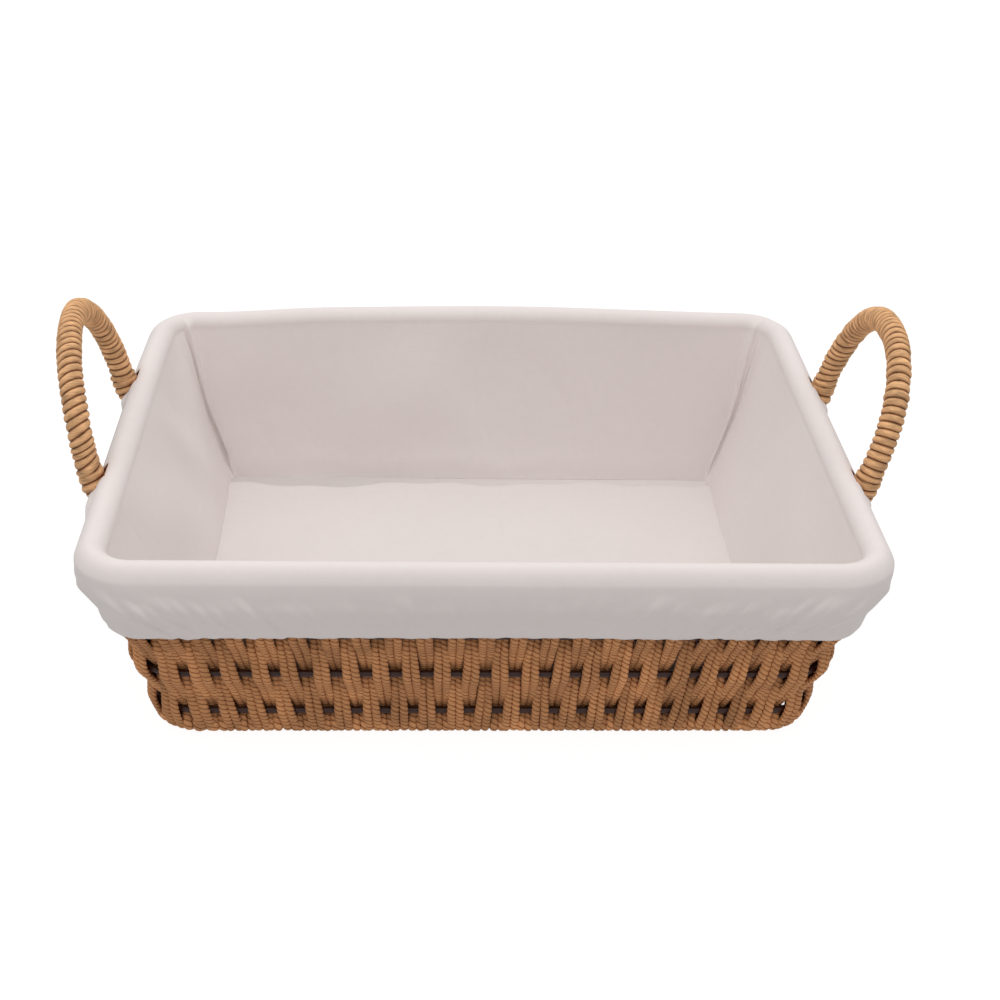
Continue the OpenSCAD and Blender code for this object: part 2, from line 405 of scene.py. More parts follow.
def wall_strand(tubes, u, hand, rng, sizes, tucked):
    """One strand from inside the rim's wrap down the wall and round the base ring."""
    reach = WIRE_R + sizes.cord / MM / 2
    wall = np.arange(RIM_Z - STRAND_TOP, RING_Z[0], -0.8)
    z = np.concatenate([wall, np.arange(RING_Z[0], BASE_Z, -0.5), [BASE_Z]])
    front = weave_height(z, hand)
    point, normal, sideways = wall_frame(u, z)
    drift = wander(rng, z, 20, 0.42)
    path = point + normal * (front * reach)[:, None] + sideways * drift[:, None]
    foot, facing, side = point[-1], normal[-1], sideways[-1]
    flat_out = unit(np.array([facing[0], facing[1], 0.0]))
    first = math.asin(-facing[2])
    last = math.radians(TUCK_ANGLE if tucked else 90)
    a = np.linspace(first, last, 14 if tucked else 7)[1:]
    round_ring = (
        foot
        + side * drift[-1]
        + flat_out * (reach * np.cos(a))[:, None]
        - np.array([0, 0, 1.0]) * (reach * np.sin(a))[:, None]
    )
    path = np.vstack([path, round_ring])
    if not tucked:
        path = np.vstack([path, path[-1] - flat_out * 3.0])
    extra = len(path) - len(z)
    sideways = np.vstack([sideways, np.repeat(side[None], extra, 0)])
    front = np.concatenate([front, np.full(extra, 0.4)])
    near_corner = half_width(BASE_Z) - abs(foot[0]) < 30 and (
        half_depth(BASE_Z) - abs(foot[1]) < 30
    )
    tint = 0.05 * hand + rng.normal(0, 0.09)
    fat = CORNER_FAT if near_corner else 1.0
    add_strand(tubes, path, sideways, front, rng, sizes, tint, fat)


def strand_list(sizes):
    """u and hand of every strand. Hand 1 passes in front of the second ring."""
    n = sizes.strands_round
    return [(k / (2 * n), -1 if k % 2 == 0 else 1) for k in range(2 * n)]


def side_of(u):
    """The side that a strand belongs to, split at the corners' middles."""
    _, normal, _ = wall_frame(u, np.array([RING_Z[1]]))
    angle = math.degrees(math.atan2(normal[0, 1], normal[0, 0]))
    return min(SIDES, key=lambda s: abs((angle - SIDE_ANGLE[s] + 180) % 360 - 180))


def runs_under(u):
    """True where a strand goes on across the base from front to back."""
    point, normal, _ = wall_frame(u, np.array([BASE_Z]))
    return abs(point[0, 0]) < BASE_HALF_W - 9 and abs(normal[0, 1]) > 0.6


def base_strand(tubes, x, y_ends, hand, rng, sizes):
    """One strand across the base, over and under the cross wires."""
    reach = WIRE_R + sizes.cord / MM / 2
    stops = [y_ends[0]] + CROSS_WIRE_Y + [y_ends[1]]
    levels = [-1] + [hand * (1 if i % 2 == 0 else -1) for i in range(5)] + [-1]
    y = np.linspace(y_ends[0] + 1.0, y_ends[1] - 1.0, 130)
    k = np.clip(np.searchsorted(stops, y) - 1, 0, len(stops) - 2)
    stops, levels = np.array(stops), np.array(levels, float)
    part = (y - stops[k]) / (stops[k + 1] - stops[k])
    level = levels[k] + (levels[k + 1] - levels[k]) * (1 - np.cos(math.pi * part)) / 2
    x = x + wander(rng, y, 30, 0.35) * np.sin(math.pi * (y - y[0]) / (y[-1] - y[0]))
    path = np.stack([x, y, BASE_Z + level * reach], -1)
    side = np.tile([1.0, 0.0, 0.0], (len(y), 1))
    add_strand(tubes, path, side, -level * 0.3, rng, sizes, rng.normal(0, 0.09))


# Wrapped cord


RIM_SAG = 2.8
RIM_TURN = 3.4
RIM_RIDGE = 1.2
# Turns on a handle: how proud they stand, how much they lean, and points round the bar.
TURN_RIDGE = 1.6
TURN_LEAN = 0.28
TURN_SIDES = 36
# A handle's legs stand this far outside the rim; its loop rises and bends by these.
LEG_OFFSET = 9.5
HANDLE_HALF_W = 52.0
HANDLE_RISE = 61.5
HANDLE_BEND = 49.0
# How far a binding runs up and down its leg from the rim, its radius and its turns.
BINDING_UP = 8.0
BINDING_DOWN = 12.0
BINDING_R = 6.5
BINDING_TURN = 4.1


def rim_droop(x, y):
    """How far the rim's cord and cloth have sunk at the back left corner."""
    return RIM_SAG * smooth_step((-x - 80) / 70) * smooth_step((y - 65) / 65)


def ring_path(z, step):
    """Closed path round the rim's wire, with the outward direction."""
    count = 1200
    point, normal, _ = wall_frame(np.arange(count) / count, np.full(count, float(z)))
    point[:, 2] -= rim_droop(point[:, 0], point[:, 1])
    out = unit(normal * np.array([1, 1, 0]))
    at, total, (path, out) = even_path(point, step, out, closed=True)
    return at, total, path, unit(out)


def handle_frame():
    """Origin, across, up and out directions of the right handle's plane."""
    across = np.array([0.0, 1.0, 0.0])
    up = np.array([math.sin(LEAN), 0.0, math.cos(LEAN)])
    out = np.array([math.cos(LEAN), 0.0, -math.sin(LEAN)])
    origin = np.array([RIM_HALF_W, 0.0, RIM_Z]) + out * LEG_OFFSET
    return origin, across, up, out


def handle_path(side, step):
    """Centre line of a handle's wrap, from one binding over the top to the other."""
    leg = np.linspace(BINDING_UP - 2.0, HANDLE_RISE - HANDLE_BEND, 6)[:-1]
    a = np.linspace(0, math.pi / 2, 40)
    flat = HANDLE_HALF_W - HANDLE_BEND
    x = np.concatenate([np.full(len(leg), HANDLE_HALF_W), flat + HANDLE_BEND * np.cos(a)])
    y = np.concatenate([leg, HANDLE_RISE - HANDLE_BEND + HANDLE_BEND * np.sin(a)])
    x, y = np.concatenate([x, -x[::-1]]), np.concatenate([y, y[::-1]])
    origin, across, up, out = handle_frame()
    # Each handle is bent a little out of true by hand.
    height = smooth_step((y - 4) / 40)
    near_front = smooth_step(0.5 + (x if side == "left" else -x) / HANDLE_HALF_W)
    push = -2.4 * near_front if side == "left" else 1.3
    lift = 0.3 if side == "left" else 1.5
    path = origin + across * x[:, None] + up * (y + lift * height)[:, None]
    path = path + out * (push * height)[:, None]
    at, total, (path,) = even_path(path, step)
    along = unit(np.gradient(path, axis=0))
    out = np.tile(out, (len(path), 1))
    if side == "left":
        turn = np.array([-1.0, -1.0, 1.0])
        path, along, out = path * turn, along * turn, out * turn
    return at, total, path, unit(np.cross(out, along)), out


def add_wrap(tubes, rng, at, total, path, across, out, radius, pitch, ridge, tilt, sides,
             closed=False, taper=None):
    """A cord wound in close turns round a bar, as one ridged tube."""
    phi = np.arange(sides) / sides * TURN
    if closed:
        pitch = total / round(total / pitch)
        drift = 0.0
    else:
        drift = wander(rng, at, pitch * 2.3, 0.16)
    turns = at / pitch + drift
    lean = tilt * np.cos(phi - rng.uniform(0, TURN))
    phase = turns[:, None] - phi[None, :] / TURN + lean[None, :]
    x = 2 * (phase % 1.0) - 1
    crown = np.sqrt(np.maximum(1 - (0.985 * x) ** 2, 0))
    r = radius - ridge * (1 - crown)
    if closed:
        r = r * (1 + 0.02 * np.sin(at / total * TURN * 31)[:, None])
    else:
        r = r + wander(rng, at, pitch * 1.1, 0.14)[:, None]
        r = r + 0.12 * np.sin(2 * phi + rng.uniform(0, TURN))[None, :]
    if taper is not None:
        r = r * taper[:, None]
    tubes.add(path, across, out, r, r, turns, rng.normal(0, 0.1), crown, closed)


# Cloth


# Radius of the cloth over the rim, height of the floor, and its inset from the wall.
FOLD_R = 6.4
FLOOR_TOP = 10.6
FLOOR_INSET = 14.5
# Rows and columns of the liner's grid.
INNER_ROWS = 60
FOLD_ROWS = 24
SKIRT_ROWS = 44
ARC_COLUMNS = 26
LONG_COLUMNS = 400
SHORT_COLUMNS = 300
# Height and depth of the roll under the rim.
ROLL_Z = 82.0
ROLL_OUT = 9.0
# How far down the skirt the notches for the handles' legs reach, as a share.
NOTCH_DEPTH = 0.19
NOTCH_HALF_W = 6.7
LEG_BULGE = 4.0
BACK_BOW = 2.8
WAVES_PER_WALL = 11
WAVE_HEIGHT = 3.2
WAVE_DIP = 1.3
# Heights of the pleats in the back right and back left corners.
PLEATS = (1.6, 2.8)
HEM_PUCKER = 0.16
HEM_HANG = 3.2
# Painted shade on the liner: the share of its colour that the back wall and the other walls
# keep.
BACK_WALL_PAINTED_SHADE = 0.93
SIDE_WALL_PAINTED_SHADE = 0.955
# Distances of the hem's inner layer and the elastic from the wall, and their thickness.
HEM_OUT, HEM_THICK = 4.95, 0.3
BAND_OUT, BAND_THICK = 5.35, 0.35


def liner_columns():
    """The liner's columns all the way round, starting half way round the front left
    corner: multipliers of the half sizes, direction, side, place along the side."""
    columns = []
    for side in SIDES:
        a0 = SIDE_ANGLE[side]
        long_side = side in ("front", "back")
        flat = LONG_COLUMNS if long_side else SHORT_COLUMNS
        half = (RIM_HALF_W if long_side else RIM_HALF_D) - CORNER_R
        arc = (CORNER_R + FOLD_R) * math.pi / 4
        n = ARC_COLUMNS
        rows = [(-1.0, a0 - 45 + 45 * k / n, -half - arc + arc * k / n) for k in range(n)]
        rows += [(-1 + 2 * k / flat, a0, -half + 2 * half * k / flat) for k in range(flat)]
        rows += [(1.0, a0 + 45 * k / n, half + arc * k / n) for k in range(n)]
        b = math.radians(a0)
        for f, angle, along in rows:
            a = math.radians(angle)
            size = (math.cos(b) - f * math.sin(b), math.sin(b) + f * math.cos(b))
            facing = (math.cos(a), math.sin(a))
            columns.append((*size, *facing, SIDES.index(side), along, half + arc))
    return np.array(columns).T


def floor_half_sizes():
    return half_width(FLOOR_TOP) - FLOOR_INSET, half_depth(FLOOR_TOP) - FLOOR_INSET


def outer_offset(z):
    """How far the cloth stands out from the wall on its outer side: a soft roll under
    the rim that the elastic draws in below."""
    up = np.clip((z - ROLL_Z) / (RIM_Z + FOLD_R - ROLL_Z), 0, 1)
    return ROLL_OUT * np.sqrt(1 - up**2) - 3.0 * smooth_step((ROLL_Z - z) / 13.0)


def liner_profile(hem_z):
    """Rows from the floor seam up the inside, over the rim and down to the hem: half
    width, half depth, corner radius, height, and how far along each of the parts."""
    q = np.linspace(0, 1, INNER_ROWS)
    floor_w, floor_d = floor_half_sizes()
    bow = 1.6 * np.sin(math.pi * q)
    a = floor_w + (RIM_HALF_W - FOLD_R - floor_w) * q + bow
    b = floor_d + (RIM_HALF_D - FOLD_R - floor_d) * q + bow
    r = 3.0 + (CORNER_R - FOLD_R - 3.0) * smooth_step((q - 0.35) / 0.65)
    z = FLOOR_TOP + (RIM_Z - FLOOR_TOP) * q
    beta = np.linspace(math.pi, 0, FOLD_ROWS + 2)[1:-1]
    zs = RIM_Z + FOLD_R * np.sin(beta)
    d = np.where(beta < math.pi / 2, outer_offset(zs), FOLD_R * np.cos(beta))
    a, b = np.append(a, RIM_HALF_W + d), np.append(b, RIM_HALF_D + d)
    r, z = np.append(r, CORNER_R + d), np.append(z, zs)
    p = np.linspace(0, 1, SKIRT_ROWS)
    zs = RIM_Z + (hem_z - RIM_Z) * p
    off = outer_offset(zs) - 1.0 * smooth_step((p - 0.96) / 0.04)
    a, b = np.append(a, half_width(zs) + off), np.append(b, half_depth(zs) + off)
    r, z = np.append(r, CORNER_R + off), np.append(z, zs)
    inner = np.append(q, np.ones(FOLD_ROWS + SKIRT_ROWS))
    over = 1 - beta / math.pi
    fold = np.concatenate([np.zeros(INNER_ROWS), over, np.ones(SKIRT_ROWS)])
    skirt = np.append(np.zeros(INNER_ROWS + FOLD_ROWS), p)
    return a, b, r, z, (inner, fold, skirt)


def grid_normals(points):
    """Normals of a grid whose columns close on themselves, facing out of the cloth."""
    down = np.gradient(points, axis=0)
    side = np.roll(points, -1, axis=1) - np.roll(points, 1, axis=1)
    return unit(np.cross(down, side))


def gather_folds(rng, along, half, depth, reach):
    """Height of the skirt's diagonal folds. They start under the rim and lean towards
    the middle of the side, most of all near the corners."""
    height = np.zeros((len(depth), len(along)))
    down = depth[:, None] * reach
    for end in (-1, 1):
        from_corner = half + end * along[None, :]
        place = 4.0
        while place < half:
            near = math.exp(-place / 130.0)
            lean = 0.05 + 0.60 * near
            size = (0.3 + 1.8 * near) * rng.uniform(0.45, 1.3) * min(0.6 + place / 60, 1)
            width = rng.uniform(1.8, 3.3) * (1 + 0.5 * (1 - near))
            line = place + lean * down * (1 + 0.25 * depth[:, None])
            x = (from_corner - line) / width
            shape = np.where(x > 0, bell(x * 1.9), bell(x * 0.7))
            start = rng.uniform(0.08, 0.3)
            fade = smooth_step((depth - start) / 0.25)
            fade = fade * (1 - 0.5 * smooth_step((depth - 0.8) / 0.2))
            height += size * shape * fade[:, None]
            place += rng.uniform(6.0, 11.0) * (0.8 + 0.5 * (1 - near))
    return height


def handle_openings(along, fold, skirt):
    """Faces of a short side's cloth that are left whole: a notch goes round each leg,
    and a slit joins the two."""
    row = lambda v: (v[:-1] + v[1:])[:, None] / 2
    place = abs(along[:-1] + along[1:])[None, :] / 2
    beside_leg = abs(place - HANDLE_HALF_W) < NOTCH_HALF_W
    notch = beside_leg & (row(fold) > 0.67) & (row(skirt) < NOTCH_DEPTH)
    slit = (place < HANDLE_HALF_W) & (row(fold) > 0.87) & (row(fold) < 0.97)
    return ~(notch | slit)


def liner_surface(sizes):
    """The liner's whole surface as one grid of points, with its normals and columns."""
    hem_z = sizes.hem_height / MM
    mx, my, nx, ny, side, along, half = liner_columns()
    a, b, r, z, (inner, fold, skirt) = liner_profile(hem_z)
    rng = np.random.default_rng(11)
    a, b, r, z = (np.repeat(v[:, None], len(mx), 1) for v in (a, b, r, z))
    # The back edge bows up in its middle.
    back = (side == 2)[None, :] * bell((along + 20) / 72)[None, :]
    at_rim = (smooth_step((inner - 0.55) / 0.45) * (1 - 0.6 * skirt))[:, None]
    z = z + BACK_BOW * back * at_rim
    b = b + 0.6 * back * at_rim
    # The skirt stands off over the handles' legs.
    past = abs(along) - HANDLE_HALF_W
    run_out = np.where((side == 3) & (along > HANDLE_HALF_W), 40.0, 11.0)
    leg = (side % 2 == 1) * smooth_step((9 + run_out - abs(past)) / run_out)
    out = LEG_BULGE * smooth_step(skirt / NOTCH_DEPTH)
    out = out * (1 - smooth_step((skirt - 0.35) / 0.55))
    a = a + leg[None, :] * out[:, None]
    points = np.stack([mx * (a - r) + r * nx, my * (b - r) + r * ny, z], -1)
    points[:, :, 2] -= rim_droop(points[:, :, 0], points[:, :, 1]) * at_rim
    normal = grid_normals(points)
    height = np.zeros(z.shape)
    # Soft waves of the inner walls.
    on_wall = (np.sin(math.pi * np.clip(inner, 0, 1)) ** 0.7 * (skirt == 0))[:, None]
    for k in range(4):
        pick = side == k
        x, h = along[pick], half[pick][0]
        waves = np.zeros((len(inner), len(x)))
        for _ in range(WAVES_PER_WALL):
            width = rng.uniform(9, 34)
            x0, tilt = rng.uniform(-h, h), rng.uniform(-1.0, 1.0)
            waves += rng.uniform(-WAVE_HEIGHT, WAVE_HEIGHT) * bell(
                (x[None, :] - x0 - tilt * 80 * (inner[:, None] - 0.5)) / width
            ) * bell((inner[:, None] - rng.uniform(0.2, 0.9)) / 0.45)
        height[:, pick] += on_wall * np.maximum(waves, -WAVE_DIP)
        height[:, pick] += gather_folds(rng, x, h, skirt, RIM_Z - hem_z)
    # A pleat runs from the rim to the floor in each back corner, and a tuck crosses the
    # foot of the back wall.
    on_back = (side == 2)[None, :] & (skirt == 0)[:, None]
    for from_corner, deep in zip((half + along, half - along), PLEATS):
        line = from_corner[None, :] - 5.0
        fade = smooth_step(inner / 0.15) * (1 - smooth_step(fold / 0.35))
        shape = np.where(line > 0, bell(line / 3.6), bell(line / 1.0))
        height += on_back * deep * shape * fade[:, None]
    foot = bell((inner[:, None] - 0.10 - 0.02 * np.sin(along / 13.0)[None, :]) / 0.045)
    height += on_back * 0.4 * foot * bell((along[None, :] - 10) / 80)
    # Small puckers along the hem.
    run = np.arange(1.0, len(mx) + 1)
    pucker = sum(
        rng.uniform(0.5, 1) * np.sin(TURN * run * n / len(mx) + rng.uniform(0, TURN))
        for n in rng.integers(90, 170, 9)
    )
    height += HEM_PUCKER * pucker[None, :] * smooth_step((skirt - 0.6) / 0.4)[:, None]
    points = points + normal * height[:, :, None]
    edge = smooth_step((skirt - 0.85) / 0.15)[:, None]
    points[:, :, 2] += 0.22 * pucker[None, :] * edge
    # The hem hangs lower round the corners.
    hang = np.where(side % 2 == 1, 34.0, 13.0)
    near_corner = bell((half - abs(along))[None, :] / hang[None, :])
    points[:, :, 2] -= HEM_HANG * near_corner * skirt[:, None] ** 2
    return points, grid_normals(points), (side, along, half), (inner, fold, skirt)


def cloth_piece(name, points, normal, keep, thickness, tone=None):
    """A closed thin piece of cloth from a grid, with the faces in keep. tone is painted shade:
    the share of its colour that the cloth keeps at each point."""
    rows, cols = points.shape[:2]
    index = np.arange(rows * cols).reshape(rows, cols)
    layer = rows * cols
    both = np.vstack(
        [
            (points + normal * thickness / 2).reshape(-1, 3),
            (points - normal * thickness / 2).reshape(-1, 3),
        ]
    )
    i, j = np.nonzero(keep)
    quad = np.stack([index[i, j], index[i + 1, j], index[i + 1, j + 1], index[i, j + 1]], -1)
    faces = [quad, quad[:, ::-1] + layer]
    padded = np.pad(keep, 1)
    for di, dj, p, q in (
        (-1, 0, (0, 0), (0, 1)),
        (1, 0, (1, 1), (1, 0)),
        (0, -1, (1, 0), (0, 0)),
        (0, 1, (0, 1), (1, 1)),
    ):
        open_edge = ~padded[i + 1 + di, j + 1 + dj]
        ii, jj = i[open_edge], j[open_edge]
        first, second = index[ii + p[0], jj + p[1]], index[ii + q[0], jj + q[1]]
        faces.append(np.stack([first, second, second + layer, first + layer], -1))
    faces = np.concatenate(faces)
    used, inverse = np.unique(faces, return_inverse=True)
    custom = np.vstack([normal.reshape(-1, 3), -normal.reshape(-1, 3)])[used]
    tone = np.ones((rows, cols)) if tone is None else tone
    values = {"tone": np.tile(tone.ravel(), 2)[used]}
    return make_piece(name, both[used], inverse.reshape(-1, 4), values=values, normals=custom)


def floor_grid():
    """The liner's floor panel, waved a little beside its back seam, with painted shade in its
    tone.
    """
    w, d = (half + 0.5 for half in floor_half_sizes())
    x, y = np.meshgrid(np.linspace(-w, w, 170), np.linspace(-d, d, 220))
    rng = np.random.default_rng(5)
    edge = np.minimum(w - abs(x), d - abs(y))
    z = np.full(x.shape, FLOOR_TOP) - 0.5 * np.exp(-edge / 2.2)
    for _ in range(9):
        rise = rng.uniform(-0.35, 0.45)
        rise = rise * bell((x - rng.uniform(-w, w)) / rng.uniform(14, 40))
        z += rise * bell((y - rng.uniform(-d, d)) / rng.uniform(12, 30))
    # A loose tuck lies along the back seam. Painted shade darkens the whole floor a little,
    # and the strip behind the tuck more.
    crease = 10 + 1.8 * np.sin(x / 15.0 + 0.6) + 1.2 * np.sin(x / 6.3)
    crease = crease + 4 * bell((x + 95) / 40)
    past = d - y - crease
    z += np.where(past > 0, 1.4 * bell(past / 7), 1.4 * bell(past / 1.2))
    shaded = smooth_step(0.5 - past / 1.4) * (0.25 + 0.75 * bell((x + 90) / 75))
    tone = 0.89 - 0.15 * shaded
    points = np.stack([x, y, z], -1)
    across, up = np.gradient(points, axis=1), np.gradient(points, axis=0)
    return points, unit(np.cross(across, up)), tone


# Materials


THREAD_SPACING = 0.0008


def add_node(tree, kind, inputs=None, **settings):
    """Adds a shader node, sets its properties, and sets or links its inputs."""
    node = tree.nodes.new("ShaderNode" + kind)
    for name, value in settings.items():
        setattr(node, name, value)
    for key, value in (inputs or {}).items():
        if isinstance(value, bpy.types.NodeSocket):
            tree.links.new(value, node.inputs[key])
        else:
            node.inputs[key].default_value = value
    return node


def new_material(name, roughness, **shader_inputs):
    material = bpy.data.materials.new(name)
    material.use_nodes = True
    tree = material.node_tree
    tree.nodes.clear()
    inputs = {"Roughness": roughness, "IOR": 1.5, **shader_inputs}
    shader = add_node(tree, "BsdfPrincipled", inputs)
    add_node(tree, "OutputMaterial", {"Surface": shader.outputs["BSDF"]})
    return material, tree, shader


def weighed_sum(tree, total, *terms):
    """total plus each value times its weight."""
    for value, weight in terms:
        total = add_node(
            tree, "Math", {0: value, 1: weight, 2: total}, operation="MULTIPLY_ADD"
        ).outputs[0]
    return total


def cosine_and_sine(tree, angle):
    return [
        add_node(tree, "Math", {0: angle}, operation=kind).outputs[0]
        for kind in ("COSINE", "SINE")
    ]


def round_and_along(tree):
    """How far round a cord a point is, from 0 to 1, and how many turns along it."""
    uv = add_node(tree, "UVMap", uv_map="along").outputs["UV"]
    parts = add_node(tree, "SeparateXYZ", {0: uv})
    return parts.outputs["X"], parts.outputs["Y"]


def groove_to_crown(tree, crown, low, high, dark, light):
    """The dark colour where crown is under low, turning to the light one at high: painted
    shade in the grooves between plies or turns.
    """
    share = add_node(
        tree,
        "MapRange",
        {"Value": crown, "From Min": low, "From Max": high},
        interpolation_type="SMOOTHSTEP",
    ).outputs["Result"]
    mixed = add_node(tree, "Mix", {"Factor": share, 6: dark, 7: light}, data_type="RGBA")
    return mixed.outputs[2]


def colour_and_bump(tree, shader, base, value, height, strength, distance):
    """Links a base colour as bright as value, and a bump of the given height."""
    colour = add_node(tree, "HueSaturation", {"Color": base, "Value": value})
    bump = add_node(
        tree, "Bump", {"Strength": strength, "Distance": distance, "Height": height}
    )
    tree.links.new(colour.outputs["Color"], shader.inputs["Base Color"])
    tree.links.new(bump.outputs["Normal"], shader.inputs["Normal"])


def twisted_paper_cord(name, light, dark):
    """Kraft paper twisted in two plies: matt, with painted shade between the plies, and fine
    streaks that follow the twist."""
    material, tree, shader = new_material(name, 0.82, **{"Specular IOR Level": 0.25})
    u, v = round_and_along(tree)
    turn = add_node(tree, "Math", {0: u, 1: v}, operation="SUBTRACT").outputs[0]
    angle = add_node(tree, "Math", {0: turn, 1: TURN}, operation="MULTIPLY").outputs[0]
    cosine, sine = cosine_and_sine(tree, angle)
    crown = add_node(tree, "Math", {0: cosine}, operation="ABSOLUTE").outputs[0]
    # Streaks about 0.4 mm wide, drawn twice as coarse as real paper fibres.
    around = add_node(tree, "CombineXYZ", {0: cosine, 1: sine, 2: v}).outputs[0]
    place = add_node(tree, "NewGeometry").outputs["Position"]
    shift = add_node(
        tree, "VectorMath", {0: place, 1: (37.0, 37.0, 37.0)}, operation="MULTIPLY"
    ).outputs[0]
    where = add_node(
        tree, "VectorMath", {0: around, 1: shift}, operation="ADD"
    ).outputs[0]
    streak = add_node(
        tree, "TexNoise", {"Vector": where, "Scale": 3.2, "Detail": 3.0}
    ).outputs["Fac"]
    blotch = add_node(
        tree, "TexNoise", {"Vector": place, "Scale": 60.0, "Detail": 2.0}
    ).outputs["Fac"]
    tint = add_node(tree, "Attribute", attribute_name="tint").outputs["Fac"]
    # Painted shade: the cord turns to the groove colour between its plies.
    base = groove_to_crown(tree, crown, 0.05, 0.55, dark, light)
    value = weighed_sum(tree, 0.10, (streak, 0.9), (blotch, 0.8), (tint, 0.8))
    relief = weighed_sum(tree, crown, (streak, 0.35))
    colour_and_bump(tree, shader, base, value, relief, 0.7, 0.0006)
    return material


def wound_paper_cord(name, light, dark, roughness):
    """Paper cord wound in close turns: a soft crown on each turn, with painted shade where two
    turns meet, and fibres that run round the bar."""
    material, tree, shader = new_material(name, roughness, **{"Specular IOR Level": 0.3})
    u, v = round_and_along(tree)
    angle = add_node(tree, "Math", {0: u, 1: TURN}, operation="MULTIPLY").outputs[0]
    cosine, sine = cosine_and_sine(tree, angle)
    fine = add_node(tree, "Math", {0: v, 1: 7.0}, operation="MULTIPLY").outputs[0]
    close = add_node(tree, "CombineXYZ", {0: cosine, 1: sine, 2: fine}).outputs[0]
    loose = add_node(tree, "CombineXYZ", {0: cosine, 1: sine, 2: v}).outputs[0]
    fibre = add_node(
        tree, "TexNoise", {"Vector": close, "Scale": 1.3, "Detail": 4.0}
    ).outputs["Fac"]
    patch = add_node(
        tree, "TexNoise", {"Vector": loose, "Scale": 0.9, "Detail": 1.0}
    ).outputs["Fac"]
    crown = add_node(tree, "Attribute", attribute_name="crown").outputs["Fac"]
    # Painted shade: the cord turns to the groove colour where two turns meet.
    base = groove_to_crown(tree, crown, 0.3, 0.95, dark, light)
    value = weighed_sum(tree, -0.15, (fibre, 1.3), (patch, 1.1))
    colour_and_bump(tree, shader, base, value, fibre, 0.6, 0.0005)
    return material


def coated_wire(name, tone):
    """Steel wire with a dark brown dip coat: satin, with a slightly uneven skin."""
    material, tree, shader = new_material(name, 0.42)
    place = add_node(tree, "NewGeometry").outputs["Position"]
    skin = add_node(
        tree, "TexNoise", {"Vector": place, "Scale": 420.0, "Detail": 2.0}
    ).outputs["Fac"]
    value = weighed_sum(tree, 0.6, (skin, 0.8))
    colour_and_bump(tree, shader, tone, value, skin, 0.25, 0.0003)
    return material


def woven_cotton(name, tone):
    """Plain woven cotton: matt, with a faint grid of threads and soft slubs. The
    threads, 0.3 mm apart in real sheeting, are drawn further apart to show."""
    material, tree, shader = new_material(
        name, 0.88, **{"Specular IOR Level": 0.2, "Sheen Weight": 0.15}
    )
    place = add_node(tree, "NewGeometry").outputs["Position"]
    scaled = add_node(
        tree, "VectorMath", {0: place, "Scale": TURN / THREAD_SPACING}, operation="SCALE"
    ).outputs[0]
    parts = add_node(tree, "SeparateXYZ", {0: scaled})
    waves = [
        add_node(tree, "Math", {0: part}, operation="SINE").outputs[0]
        for part in parts.outputs
    ]
    threads = weighed_sum(tree, waves[0], (waves[1], 1.0), (waves[2], 1.0))
    slub = add_node(
        tree, "TexNoise", {"Vector": place, "Scale": 240.0, "Detail": 3.0}
    ).outputs["Fac"]
    cloud = add_node(
        tree, "TexNoise", {"Vector": place, "Scale": 14.0, "Detail": 2.0}
    ).outputs["Fac"]
    value = weighed_sum(tree, 0.95, (slub, 0.05), (cloud, 0.05))
    # Painted shade: the tone attribute darkens the cloth where it is set below 1.
    painted_shade = add_node(tree, "Attribute", attribute_name="tone").outputs["Fac"]
    value = add_node(tree, "Math", {0: value, 1: painted_shade}, operation="MULTIPLY").outputs[0]
    relief = weighed_sum(tree, threads, (slub, 2.0))
    colour_and_bump(tree, shader, tone, value, relief, 0.05, 0.0002)
    return material


def finish_piece(piece, material, body, slot, *nodes):
    piece.data.materials.append(material)
    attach(piece, body)
    if nodes:
        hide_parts(*nodes)
    return piece


def kept_material(name, maker, *arguments):
    """The named material, made the first time it is asked for."""
    return bpy.data.materials.get(name) or maker(name, *arguments)


def woven_cord(colours):
    return kept_material(
        "paper_cord_twisted", twisted_paper_cord, colours.woven, colours.woven_groove_shade
    )


def handle_cord(colours):
    return kept_material(
        "paper_cord_wound_handle", wound_paper_cord, colours.handle, colours.handle_groove_shade, 0.7
    )


# Operators


class BASKET_OT_wires(bpy.types.Operator):
    """Coats the frame's wires"""

    bl_idname = "basket.wires"
    bl_label = "Frame Wires"

    def execute(self, context):
        material = coated_wire("steel_wire_dip_coated", context.scene.basket_colours.wire)
        for node in WIRE_NODES:
            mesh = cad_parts[node].data
            mesh.materials.clear()
            mesh.materials.append(material)
        return {"FINISHED"}


class BASKET_OT_woven_walls(bpy.types.Operator):
    """Weaves the four walls from paired cords"""

    bl_idname = "basket.woven_walls"
    bl_label = "Woven Walls"

    def execute(self, context):
        sizes = context.scene.basket_sizes
        material = woven_cord(context.scene.basket_colours)
        rng = np.random.default_rng(3)
        walls = {side: Tubes() for side in SIDES}
        for u, hand in strand_list(sizes):
            wall_strand(walls[side_of(u)], u, hand, rng, sizes, not runs_under(u))
        for side in SIDES:
            piece = walls[side].piece(side + "_woven_wall")
            finish_piece(piece, material, "basket", "woven_cord", side + "_wall_weave")
        return {"FINISHED"}


class BASKET_OT_woven_base(bpy.types.Operator):
    """Weaves the base over and under its cross wires"""

    bl_idname = "basket.woven_base"
    bl_label = "Woven Base"

    def execute(self, context):
        sizes = context.scene.basket_sizes
        material = woven_cord(context.scene.basket_colours)
        rng = np.random.default_rng(4)
        tubes = Tubes()
        for u, hand in strand_list(sizes):
            foot, normal, _ = wall_frame(u, np.array([BASE_Z]))
            if runs_under(u) and normal[0, 1] < 0:
                y = abs(foot[0, 1])
                base_strand(tubes, foot[0, 0], (-y, y), hand, rng, sizes)
        piece = tubes.piece("woven_base")
        finish_piece(piece, material, "basket", "woven_cord", "base_weave")
        return {"FINISHED"}


